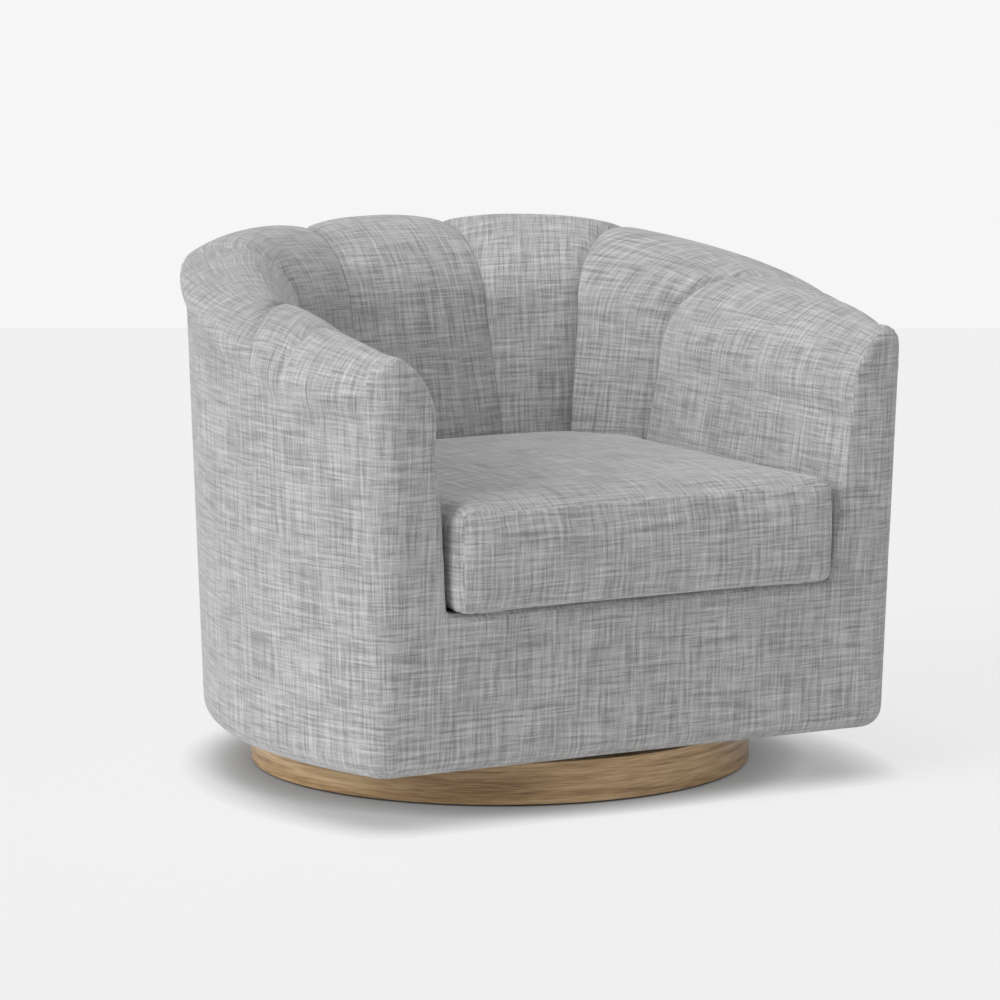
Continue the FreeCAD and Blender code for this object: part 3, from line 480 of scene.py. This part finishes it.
def channel_map(skin, s, t):
    """A channel's panel map: its height up the cloth, and its place across, which follows the wall at the
    outer end. Both run on into the cover's own map there."""
    steps = np.linalg.norm(np.diff(skin, axis=1), axis=2)
    climb = np.concatenate([np.zeros((COLUMNS, 1)), np.cumsum(steps, axis=1)], 1)
    top_v = skin[:, -1:, 2] + climb[:, -1:]
    level = np.clip((s - 0.45) / 0.35, 0, 1)[None, :]
    v = top_v[COLUMNS // 2] * (1 - level) + top_v * level - climb
    wall = outline_run(skin[:, -1, 0], skin[:, -1, 1])[0]
    place = np.where(skin[:, -1, 0] < 0, -(HALF_ROUND - wall), HALF_ROUND - wall)
    width = np.linalg.norm(skin[0] - skin[-1], axis=1)
    width *= abs(place[-1] - place[0]) / width[-1]
    across = (t[:, None] - 0.5) * width[None, :] * np.sign(place[-1] - place[0])
    local = (place[0] + place[-1]) / 2 + across
    follow = np.clip((s - 0.6) / 0.22, 0, 1)[None, :]
    return np.stack([local * (1 - follow) + place[:, None] * follow, v], 2)


def channel_grid(index, under=False):
    """One channel's cloth as a grid of points, its hidden back and its panel map.

    The cloth swells between two seams. The cover dives under the body's cloth past the crest. The under
    grid lies below the cover inside, and outside it is the body's cloth."""
    a, b = stations[index], stations[index + 1]
    m = between(a, b)
    crown, bulge = CROWNS[index]
    t = np.linspace(0, 1, COLUMNS)
    t = 0.35 * t + 0.65 * (0.5 - 0.5 * np.cos(t * math.pi))
    weights = np.stack([2 * (t - 0.5) * (t - 1), -4 * t * (t - 1), 2 * t * (t - 0.5)], 1)
    skin = np.einsum("tk,ksc->tsc", weights, np.array([skin_profile(st) for st in (a, m, b)]))
    back = np.einsum("tk,ksc->tsc", weights, np.array([frame_line(st) for st in (a, m, b)]))
    normal = np.cross(np.gradient(skin, axis=1), np.gradient(skin, axis=0))
    normal /= np.linalg.norm(normal, axis=2, keepdims=True) + 1e-9
    if normal[COLUMNS // 2, SKIN // 6] @ np.array([m.way[0], m.way[1], 0.0]) > 0:
        normal = -normal
    s = np.linspace(0, 1, SKIN)
    pillow = 1 - np.abs(2 * t - 1) ** 2.6
    rise = np.interp(s, [0, 0.30, 0.48, 0.61, 0.76, 0.90, 1.0],
                     [bulge * 0.9, bulge, (bulge + crown) / 2, crown, crown * 0.75, crown * 0.4, 0.0])
    base = (np.interp(s, [0.50, 0.66], [-4.5, 0.0]) if under
            else np.interp(s, [0.66, 0.86, 1.0], [0.0, -5.0, -5.0]))
    ripple = 0.4 * np.sin(s * 17 + index * 2.3)[None, :] * np.sin(t * 5.1 + index)[:, None]
    chord = np.linalg.norm(skin[0] - skin[-1], axis=1)[None, :]
    offset = (pillow[:, None] * (rise[None, :] + ripple * (not under)) + base[None, :]
              - sewn_lines(index, s, t, chord))
    skin = skin + normal * offset[:, :, None]
    return skin, back, channel_map(skin, s, t)


def channel_mesh(index, name, under=False):
    """One padded channel as a closed mesh: the cloth's grid, and its back lying on the frame."""
    skin, back, uv = channel_grid(index, under)
    loop = np.concatenate([skin, back], 1)
    count = loop.shape[1]
    points = loop.reshape(-1, 3)
    hidden = uv[:, -1:, :] - np.array([0.0, 30.0]) * np.arange(1, 6)[None, :, None]
    table = np.concatenate([uv, hidden], 1)
    faces, uvs = [], []
    for i in range(COLUMNS - 1):
        for j in range(count):
            k = (j + 1) % count
            faces.append((i * count + j, (i + 1) * count + j, (i + 1) * count + k, i * count + k))
            uvs += [table[i, j], table[i + 1, j], table[i + 1, j + 1], table[i, j + 1]]
    for i in (0, COLUMNS - 1):
        ring = [i * count + j for j in range(count)]
        faces.append(ring[::-1] if i else ring)
        uvs += [(points[r][1], points[r][2]) for r in faces[-1]]
    obj = mesh_object(name, points, faces, uvs)
    fix_normals(obj)
    return obj


def fix_normals(obj):
    bm = bmesh.new()
    bm.from_mesh(obj.data)
    bmesh.ops.recalc_face_normals(bm, faces=bm.faces)
    bm.to_mesh(obj.data)
    bm.free()


# ---------- materials ----------
OAK = [(0.30, (0.14, 0.070, 0.028)), (0.41, (0.29, 0.170, 0.074)), (0.50, (0.45, 0.29, 0.138)),
       (0.60, (0.60, 0.42, 0.23)), (0.72, (0.70, 0.53, 0.33))]
PINE = [(0.30, (0.42, 0.27, 0.13)), (0.55, (0.62, 0.44, 0.25)), (0.75, (0.72, 0.55, 0.35))]
PLY = [(0.30, (0.36, 0.24, 0.13)), (0.55, (0.52, 0.37, 0.22)), (0.75, (0.60, 0.46, 0.30))]
node_material = {
    "wood_veneer": timber("oak_veneer", OAK, (4.5, 4.5, 110.0), 0.36),
    "plywood": timber("plywood", PLY, (4.0, 4.0, 300.0), 0.7),
    "softwood": timber("softwood", PINE, (6.0, 6.0, 40.0), 0.7),
    "fibreboard": plain("fibreboard", (0.24, 0.16, 0.09), 0.85, 260.0),
    "steel": metal("zinc_steel", (0.58, 0.59, 0.61), 0.32),
    "spring_steel": metal("spring_steel", (0.16, 0.165, 0.175), 0.4),
    "cage_plastic": plain("nylon", (0.74, 0.72, 0.66), 0.5, 90.0, 0.0001),
    "glide_felt": plain("felt", (0.05, 0.045, 0.04), 0.95, 900.0),
    "black_cloth": plain("dust_cloth", (0.012, 0.012, 0.014), 0.95, 700.0),
    "deck_cloth": plain("deck_cloth", (0.17, 0.17, 0.17), 0.95, 800.0),
}
slots = {part["node"]: part["material_slot"] for part in frame["record"]["subparts"]}
for name, obj in nodes.items():
    if slots[name] in node_material:
        obj.data.materials.clear()
        obj.data.materials.append(node_material[slots[name]])

cloth_body, cloth_cushion = linen("linen_body", 1.0), linen("linen_cushion", 13.0)


def dress(obj, material, node_names, body="seat"):
    """Give a soft piece its cloth, its body and the nodes it stands for."""
    obj.data.materials.clear()
    obj.data.materials.append(material)
    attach(obj, body)
    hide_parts(*node_names)
    return obj


# ---------- the cover round the body: outside, arm fronts and front rail in one cloth ----------
class GridMap:
    """Looks up the panel map of the channels' cloth for points on or near it."""

    def __init__(self):
        grids = [channel_grid(i, True) for i in range(9)]
        self.points = np.concatenate([g[0].reshape(-1, 3) for g in grids])
        self.uv = np.concatenate([g[2].reshape(-1, 2) for g in grids])
        self.dt = np.concatenate([np.gradient(g[0], axis=0).reshape(-1, 3) for g in grids])
        self.ds = np.concatenate([np.gradient(g[0], axis=1).reshape(-1, 3) for g in grids])
        self.ut = np.concatenate([np.gradient(g[2], axis=0).reshape(-1, 2) for g in grids])
        self.us = np.concatenate([np.gradient(g[2], axis=1).reshape(-1, 2) for g in grids])
        self.ends = np.concatenate([np.repeat(g[0][:, -1, 2], SKIN) for g in grids])
        self.tree = KDTree(len(self.points))
        for i, point in enumerate(self.points):
            self.tree.insert(point, i)
        self.tree.balance()

    def at(self, where):
        near = np.array([self.tree.find(p)[1] for p in where])
        d = where - self.points[near]
        t, s = self.dt[near], self.ds[near]
        tt, ss, ts = (t * t).sum(1), (s * s).sum(1), (t * s).sum(1)
        dt, ds = (d * t).sum(1), (d * s).sum(1)
        determinant = tt * ss - ts * ts + 1e-9
        a, b = (dt * ss - ds * ts) / determinant, (ds * tt - dt * ts) / determinant
        return self.uv[near] + self.ut[near] * a[:, None] + self.us[near] * b[:, None], self.ends[near]


LEDGE_LOW, LEDGE_HIGH, LEDGE_HALF = 262, 276, 288  # the ledge behind the front border, under the cushion
ARM_FRONT_TOP = 590.0  # above it the front has the channels' own map
INNER_DEPTH, INNER_LEAN = 35, 0.04  # how far inside the walls the inner cloth begins, and more lower down
ARM_X = 200  # the arms lie beyond it


def panel_map(mesh):
    """The cover's panel map: round and up the walls and the front, and the channels' own over the arms."""
    co = coordinates(mesh) / MM
    corner = np.zeros(len(mesh.loops), np.int32)
    mesh.loops.foreach_get("vertex_index", corner)
    count = len(mesh.polygons)
    sizes = np.zeros(count, np.int32)
    normals, centres = np.zeros(count * 3, np.float32), np.zeros(count * 3, np.float32)
    mesh.polygons.foreach_get("loop_total", sizes)
    mesh.polygons.foreach_get("normal", normals)
    mesh.polygons.foreach_get("center", centres)
    face = np.repeat(np.arange(count), sizes)
    n, c = normals.reshape(-1, 3)[face], centres.reshape(-1, 3)[face] / MM
    x, y, z = co[corner].T
    grid, ends = GridMap().at(co)
    grid, starts = grid[corner], np.concatenate([[0], np.cumsum(sizes)[:-1]])
    wall_end = np.repeat(np.add.reduceat(ends[corner], starts) / sizes, sizes)
    past = outline_run(c[:, 0], c[:, 1])[1]
    u, v = ring_place(x, y, (c[:, 0] > 0) & past), z.copy()
    wall_top = np.where(past, wall_end, ARM_FRONT_TOP)
    over = (c[:, 2] > wall_top) & (n[:, 1] > -0.70) & ((n[:, 2] > 0.25) | past)
    deep = depth_inside(c[:, 0], c[:, 1]) > INNER_DEPTH + INNER_LEAN * (WAIST - c[:, 2])
    inner_edge = (n[:, 0] * np.sign(c[:, 0]) < -0.45) & (np.abs(c[:, 0]) > ARM_X) & ~past
    use = over | ((deep & (n[:, 1] > -0.70) | inner_edge) & (c[:, 2] > LEDGE_LOW))
    u, v = np.where(use, grid[:, 0], u), np.where(use, grid[:, 1], v)
    ledge = ((c[:, 2] > LEDGE_LOW) & (c[:, 2] < LEDGE_HIGH) & (np.abs(c[:, 0]) < LEDGE_HALF)
             & (n[:, 2] > 0.5))
    u, v = np.where(ledge, x, u), np.where(ledge, z + y + 380, v)
    under = n[:, 2] < -0.7
    u, v = np.where(under, x, u), np.where(under, y, v)
    layer = mesh.uv_layers.new(name="panel")
    layer.data.foreach_set("uv", (np.stack([u, v], 1) * MM).astype(np.float32).ravel())


def soften(mesh, rounds, shrink=0.5, grow=-0.52):
    """Smooths a mesh without shrinking it: each round draws its vertices in towards their neighbours,
    then out again."""
    co = coordinates(mesh)
    edges = np.zeros(len(mesh.edges) * 2, np.int32)
    mesh.edges.foreach_get("vertices", edges)
    i, j = edges.reshape(-1, 2).T
    degree = np.bincount(np.concatenate([i, j]), minlength=len(co))[:, None]
    for _ in range(rounds):
        for factor in (shrink, grow):
            total = np.stack([np.bincount(i, co[j, k], len(co)) + np.bincount(j, co[i, k], len(co))
                              for k in range(3)], 1)
            co += factor * (total / degree - co)
    mesh.vertices.foreach_set("co", co.astype(np.float32).ravel())
    mesh.update()


BORDER_BACK, BORDER_MOVED = (-0.35535, -0.35505), -0.350  # metres


def merged(name, sources, voxel):
    """One closed skin round several meshes."""
    bm = bmesh.new()
    for source in sources:
        bm.from_mesh(source.data)
    for vertex in bm.verts:  # the front border's hidden back face is drawn into the arms behind it
        if BORDER_BACK[0] < vertex.co.y < BORDER_BACK[1]:
            vertex.co.y = BORDER_MOVED
    mesh = bpy.data.meshes.new(name)
    bm.to_mesh(mesh)
    bm.free()
    obj = bpy.data.objects.new(name, mesh)
    scene.collection.objects.link(obj)
    remesh = obj.modifiers.new("remesh", "REMESH")
    remesh.mode, remesh.voxel_size = "VOXEL", voxel
    apply_modifiers(obj)
    obj.data.shade_smooth()
    return obj


WRAPPED = ["outside_cover", "front_border", "channel_1", "channel_9"]  # nodes that the one cloth covers
INNER_CHANNELS = range(1, 8)  # those between the arms' fronts, each with a cover of its own


def body_cover():
    """The body's cloth: the outside, the front and the arm fronts, running on over the crest."""
    shells = [channel_mesh(i, f"under_{i}", under=True) for i in INNER_CHANNELS]
    obj = merged("body_cover", [nodes[n] for n in WRAPPED] + shells, voxel=0.0045)
    for shell in shells:
        bpy.data.objects.remove(shell)
    soften(obj.data, rounds=12)
    panel_map(obj.data)
    return obj


cover = body_cover()
dress(cover, cloth_body, WRAPPED)
for index in INNER_CHANNELS:
    channel = channel_mesh(index, f"channel_cover_{index + 1}")
    dress(channel, cloth_body, [f"channel_{index + 1}"])

deck_pad = merged("deck_pad_cover", [nodes["deck_pad"]], voxel=0.004)
soften(deck_pad.data, rounds=8)
dress(deck_pad, node_material["deck_cloth"], ["deck_pad"])


# ---------- the loose cushion ----------
HALF, CUSHION_FRONT = 272.0, 399.0
CUSHION_LOW, CUSHION_EDGE, CUSHION_CROWN = 271.0, 404.0, 13.0
CUSHION_CLEAR = 5.0  # between the cushion and the channels' seams
CUSHION_CENTRE = np.array([0.0, -115.0])
RING, INNER_RINGS = 280, 26  # points round the cushion, and rings from its edge to its middle


def mitred(points, distance):
    """A closed outline moved inwards by a distance, its corners kept sharp."""
    moved = []
    for i, c in enumerate(points):
        p, n = points[i - 1], points[(i + 1) % len(points)]
        a, b = c - p, n - c
        n1 = np.array([-a[1], a[0]]) / np.hypot(*a)
        n2 = np.array([-b[1], b[0]]) / np.hypot(*b)
        moved.append(c + (n1 + n2) * distance / (1 + n1 @ n2))
    return np.array(moved)


def cushion_outline(inset, count):
    """The cushion's plan as evenly spaced points, its corners eased, drawn in by an inset."""
    seat = [st.seat for st in right] + [st.seat for st in reversed(left)]
    clear = mitred(seat, CUSHION_CLEAR)
    edge = np.concatenate([[[-HALF, -CUSHION_FRONT], [HALF, -CUSHION_FRONT]], clear[1:-1]])
    ring = mitred(edge, inset)
    closed = np.concatenate([ring, ring[:1]])
    dense = resample(np.concatenate([closed, np.zeros((len(closed), 1))], 1), 1200)[:-1]
    width = 6
    kernel = np.ones(2 * width + 1) / (2 * width + 1)
    for _ in range(3):
        wrapped = np.concatenate([dense[-width:], dense, dense[:width]])
        dense = np.stack([np.convolve(wrapped[:, k], kernel, "valid") for k in range(3)], 1)
    shift = int(np.argmin(np.hypot(dense[:, 0], dense[:, 1] + CUSHION_FRONT)))
    dense = np.roll(dense, -shift, axis=0)
    return resample(np.concatenate([dense, dense[:1]]), count + 1)[:-1, :2]


def cushion_rings():
    """Inset and height of each ring up the cushion's side: round edges and sides that swell a little."""
    low, high, foot, brow, swell = CUSHION_LOW, CUSHION_EDGE, 9.0, 15.0, 2.0
    turn = np.linspace(0, math.pi / 2, 8)
    rings = [(foot * (1 - math.sin(a)), low + foot * (1 - math.cos(a))) for a in turn]
    for share in np.linspace(0, 1, 18)[1:-1]:
        rings.append((0.0, low + foot + (high - brow - low - foot) * share))
    rings += [(brow * (1 - math.cos(a)), high - brow * (1 - math.sin(a))) for a in turn]
    return [(inset - swell * math.sin(math.pi * np.clip((z - low) / (high - low), 0, 1)) ** 0.7, z)
            for inset, z in rings]


def build_cushion():
    """A crowned box: rings up the sides, then rings that shrink to the middle of the top and bottom."""
    rings = cushion_rings()
    outlines = [cushion_outline(inset, RING) for inset, _ in rings]
    heights = [np.full(RING, z) for _, z in rings]
    for is_top, base in ((True, outlines[-1]), (False, outlines[0])):
        rows, levels = [], []
        for k in range(1, INNER_RINGS + 1):
            share = 1 - k / (INNER_RINGS + 0.5)
            rows.append(CUSHION_CENTRE + (base - CUSHION_CENTRE) * share)
            crown = CUSHION_CROWN * (1 - share ** 2.6) if is_top else 0.0
            levels.append(np.full(RING, (CUSHION_EDGE if is_top else CUSHION_LOW) + crown))
        if is_top:
            outlines, heights = outlines + rows, heights + levels
        else:
            outlines, heights = rows[::-1] + outlines, levels[::-1] + heights
    total = len(outlines)
    points = np.concatenate([np.concatenate([o, h[:, None]], 1) for o, h in zip(outlines, heights)])
    faces = []
    for low in range(0, (total - 1) * RING, RING):
        for i in range(RING):
            after = (i + 1) % RING
            faces.append((low + i, low + after, low + RING + after, low + RING + i))
    faces.append(list(range(RING))[::-1])
    faces.append(list(range((total - 1) * RING, total * RING)))
    obj = mesh_object("seat_cushion_cover", points, faces)
    fix_normals(obj)
    return obj


def puff(obj, pressure, frames, most):
    """Blows the cloth up a little under its own pressure, and keeps each point within a set distance."""
    rest = coordinates(obj.data)
    cloth = obj.modifiers.new("cloth", "CLOTH")
    cloth.settings.quality = 5
    cloth.settings.use_pressure = True
    cloth.settings.uniform_pressure_force = pressure
    cloth.settings.tension_stiffness = cloth.settings.compression_stiffness = 25
    cloth.settings.bending_stiffness = 2.0
    cloth.settings.effector_weights.gravity = 0
    cloth.collision_settings.use_collision = False
    cloth.point_cache.frame_start, cloth.point_cache.frame_end = 1, frames
    for frame_number in range(1, frames + 1):
        scene.frame_set(frame_number)
    evaluated = obj.evaluated_get(bpy.context.evaluated_depsgraph_get())
    moved = coordinates(evaluated.to_mesh())
    evaluated.to_mesh_clear()
    obj.modifiers.remove(cloth)
    scene.frame_set(1)
    step = moved - rest
    length = np.linalg.norm(step, axis=1, keepdims=True) + 1e-12
    step *= np.minimum(1.0, most * np.tanh(length / most) / length)
    obj.data.vertices.foreach_set("co", (rest + step).astype(np.float32).ravel())
    obj.data.update()


FRONT_PANEL, SIDE_PANEL = 900, 1900  # where the boxing's panels are cut from the cloth


def cushion_map(obj):
    """Each face takes its panel from the way it faces: the top and bottom from above, the boxing from the
    front or the side."""
    mesh = obj.data
    co = coordinates(mesh) / MM
    layer = mesh.uv_layers.new(name="panel")
    uv = np.zeros((len(mesh.loops), 2), np.float32)
    for polygon in mesh.polygons:
        n = polygon.normal
        for loop in polygon.loop_indices:
            x, y, z = co[mesh.loops[loop].vertex_index]
            if abs(n.z) > 0.62:
                uv[loop] = (x, y)
            elif abs(n.y) > abs(n.x):
                uv[loop] = (x + FRONT_PANEL, z)
            else:
                uv[loop] = (y + SIDE_PANEL, z)
    layer.data.foreach_set("uv", (uv * MM).ravel())


cushion = build_cushion()
puff(cushion, pressure=4.0, frames=20, most=0.003)
dress(cushion, cloth_cushion, ["seat_cushion"], body="cushion")
cushion_map(cushion)


# ---------- floor, backdrop and light ----------
SHADE_REACH, SHADE_POWER, FLOOR_GLOW, FLOOR_SHARE = 0.085, 1.3, 0.9, 0.82
BACKDROP, AMBIENT = (0.922, 0.922, 0.922, 1), 0.25


def seen_rays(tree):
    """1 where the camera, a reflection or a clear surface looks straight at it."""
    path, total = tree.nodes.new("ShaderNodeLightPath"), None
    for name in ("Is Camera Ray", "Is Glossy Ray", "Is Transmission Ray"):
        if total is None:
            total = path.outputs[name]
            continue
        most = tree.nodes.new("ShaderNodeMath")
        most.operation = "MAXIMUM"
        tree.links.new(total, most.inputs[0])
        tree.links.new(path.outputs[name], most.inputs[1])
        total = most.outputs[0]
    return total


def floor():
    """A pale floor that ends at the photograph's horizon. Most of what the camera sees of it is its own
    glow with a painted shadow: darkened by ambient occlusion where something stands close, so it stays
    soft."""
    ahead = Vector((math.sin(AZIMUTH), math.cos(AZIMUTH), 0))
    aside = Vector((math.cos(AZIMUTH), -math.sin(AZIMUTH), 0))
    far, near, wide = 4.83, -9.0, 14.0
    corners = [aside * -wide + ahead * near, aside * wide + ahead * near, aside * wide + ahead * far,
               aside * -wide + ahead * far]
    obj = mesh_object("floor", [tuple(c / MM) for c in corners], [(0, 1, 2, 3)], smooth=False)
    g = Graph("floor")
    cloud = g.noise(g.add("ShaderNodeTexCoord").outputs["Object"], 3.0, 2)
    colour = g.ramp(cloud, [(0.3, grey(0.835)), (0.7, grey(0.845))])
    g.finish(colour, Roughness=0.9, Specular_IOR_Level=0.1)
    glow, mix = g.add("ShaderNodeEmission"), g.add("ShaderNodeMixShader")
    # painted shadow: the glow's colour is darkened by ambient occlusion near the object, not by the lamps
    painted_shadow_ao = g.add("ShaderNodeAmbientOcclusion", samples=8)
    painted_shadow_ao.inputs["Distance"].default_value = SHADE_REACH
    shade = g.maths("MULTIPLY", g.maths("POWER", painted_shadow_ao.outputs["AO"], SHADE_POWER), FLOOR_GLOW)
    tone = g.add("ShaderNodeCombineColor")
    for socket in tone.inputs:
        g.link(shade, socket)
    g.link(tone.outputs[0], glow.inputs[0])
    g.link(g.maths("MULTIPLY", seen_rays(g.tree), FLOOR_SHARE), mix.inputs[0])
    g.link(g.shader.outputs[0], mix.inputs[1])
    g.link(glow.outputs[0], mix.inputs[2])
    g.link(mix.outputs[0], g.out.inputs[0])
    obj.data.materials.append(g.material)


def sun(name, source, strength, spread):
    """A soft light from a direction: the same everywhere on the object."""
    data = bpy.data.lights.new(name, "SUN")
    data.energy, data.angle = strength, math.radians(spread)
    obj = bpy.data.objects.new(name, data)
    obj.rotation_euler = (-Vector(source)).to_track_quat("-Z", "Y").to_euler()
    scene.collection.objects.link(obj)


def studio():
    """An even white world that lights the object a little, and a pale grey backdrop where it is seen."""
    world = bpy.data.worlds.new("studio")
    scene.world = world
    world.use_nodes = True
    tree = world.node_tree
    background = tree.nodes["Background"]
    seen = tree.nodes.new("ShaderNodeBackground")
    mix = tree.nodes.new("ShaderNodeMixShader")
    background.inputs[0].default_value = (1, 1, 1, 1)
    background.inputs[1].default_value = AMBIENT
    seen.inputs[0].default_value = BACKDROP
    seen.inputs[1].default_value = 1.0
    tree.links.new(seen_rays(tree), mix.inputs[0])
    tree.links.new(background.outputs[0], mix.inputs[1])
    tree.links.new(seen.outputs[0], mix.inputs[2])
    tree.links.new(mix.outputs[0], tree.nodes["World Output"].inputs[0])


floor()
sun("key", (-0.90, -0.12, 0.42), strength=1.86, spread=38)
sun("top", (-0.20, -0.05, 0.98), strength=1.22, spread=25)
sun("fill", (0.60, -0.78, 0.12), strength=0.58, spread=40)
studio()
